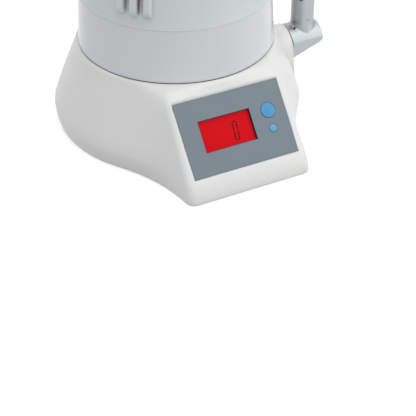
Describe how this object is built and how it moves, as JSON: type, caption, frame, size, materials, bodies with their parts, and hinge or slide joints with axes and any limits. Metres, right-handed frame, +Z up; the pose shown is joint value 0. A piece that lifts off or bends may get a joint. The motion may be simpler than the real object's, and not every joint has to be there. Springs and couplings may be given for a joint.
{
  "type": "countertop water filter",
  "caption": "Countertop drinking water filter with a sloping display and push buttons, a lift-off canister over a carbon cartridge and a swivelling gooseneck spout.",
  "frame": {"origin": "on the canister's axis at the counter plane, in the middle of the ring foot", "axes": "+Z up, the display faces -Y and the spout stands on the +X side"},
  "size_m": [0.2947, 0.1713, 0.31],
  "materials": {
    "white_plastic": "satin moulded ABS, fine smooth texture",
    "canister_grey": "smooth moulded plastic, soft gloss",
    "fascia_film": "matt printed film",
    "display_red": "backlit display, smooth",
    "button_blue": "smooth moulded",
    "button_pale_blue": "smooth moulded",
    "inner_plastic": "natural moulded plastic",
    "dark_plastic": "matt moulded plastic",
    "board_green": "solder mask",
    "lead_insulation": "soft insulation",
    "hose": "soft translucent hose",
    "carbon": "pressed carbon block",
    "cell_steel": "plated can",
    "steel": "zinc plated",
    "brass": "turned",
    "chrome": "satin chrome plate",
    "rubber": "moulded"
  },
  "bodies": {
    "base": {"base_shell": "white_plastic", "base_plate": "white_plastic", "rubber_feet": "rubber", "base_screws": "steel", "fascia_panel": "fascia_film", "display_panel": "display_red", "display_carrier": "inner_plastic", "circuit_board": "board_green", "board_screws": "steel", "tact_switches": "dark_plastic", "control_chip": "dark_plastic", "battery_holder": "dark_plastic", "battery_contacts": "brass", "coin_cell": "cell_steel", "battery_leads": "lead_insulation", "filter_head": "inner_plastic", "head_screws": "steel", "cartridge_core": "carbon", "cartridge_sleeve": "inner_plastic", "cartridge_top_cap": "inner_plastic", "cartridge_bottom_cap": "inner_plastic", "cartridge_seals": "rubber", "inlet_fitting": "dark_plastic", "inlet_seal": "rubber", "flow_meter_body": "inner_plastic", "flow_meter_cap": "inner_plastic", "turbine_axle": "steel", "flow_sensor": "dark_plastic", "sensor_lead": "lead_insulation", "inlet_hose": "hose", "outlet_hose": "hose", "hose_clamps": "steel", "spout_block": "chrome", "spout_gasket": "rubber", "block_nut": "brass", "socket_screw": "rubber"},
    "spout": {"spout_ferrule": "brass", "spout_o_rings": "rubber", "spout_tube": "chrome", "aerator_body": "chrome", "aerator_insert": "inner_plastic", "aerator_washer": "rubber"},
    "display_button": {"display_button": "button_blue"},
    "reset_button": {"reset_button": "button_pale_blue"},
    "battery_cap": {"battery_cap": "white_plastic"},
    "canister_seal": {"canister_seal": "rubber"},
    "canister": {"canister_skirt": "canister_grey", "canister_dome": "canister_grey"},
    "turbine": {"flow_turbine": "inner_plastic"},
    "inlet_collet": {"inlet_collet": "inner_plastic"}
  },
  "joints": [
    {"name": "spout_swivel", "type": "hinge", "parent": "base", "child": "spout", "pos_m": [0.0866, 0, 0.05], "axis": [0, 0, 1], "range_deg": [-120, 120]},
    {"name": "display_press", "type": "slide", "parent": "base", "child": "display_button", "axis": [0, 0.7549, -0.6559], "range_m": [0, 0.0008], "stiffness_N_per_m": 300},
    {"name": "reset_press", "type": "slide", "parent": "base", "child": "reset_button", "axis": [0, 0.7549, -0.6559], "range_m": [0, 0.0008], "stiffness_N_per_m": 300},
    {"name": "canister_lift", "type": "slide", "parent": "base", "child": "canister_seal", "axis": [0, 0, 1], "range_m": [0, 0.25]},
    {"name": "canister_turn", "type": "hinge", "parent": "canister_seal", "child": "canister", "pos_m": [0, 0, 0.1], "axis": [0, 0, 1], "range_deg": [0, 540]},
    {"name": "battery_cap_turn", "type": "hinge", "parent": "base", "child": "battery_cap", "pos_m": [-0.04, 0, 0.003], "axis": [0, 0, 1], "range_deg": [0, 60]},
    {"name": "turbine_spin", "type": "hinge", "parent": "base", "child": "turbine", "pos_m": [0, 0.044, 0.02], "axis": [0, 1, 0], "continuous": true},
    {"name": "collet_press", "type": "slide", "parent": "base", "child": "inlet_collet", "axis": [0, -1, 0], "range_m": [0, 0.0008]}
  ]
}
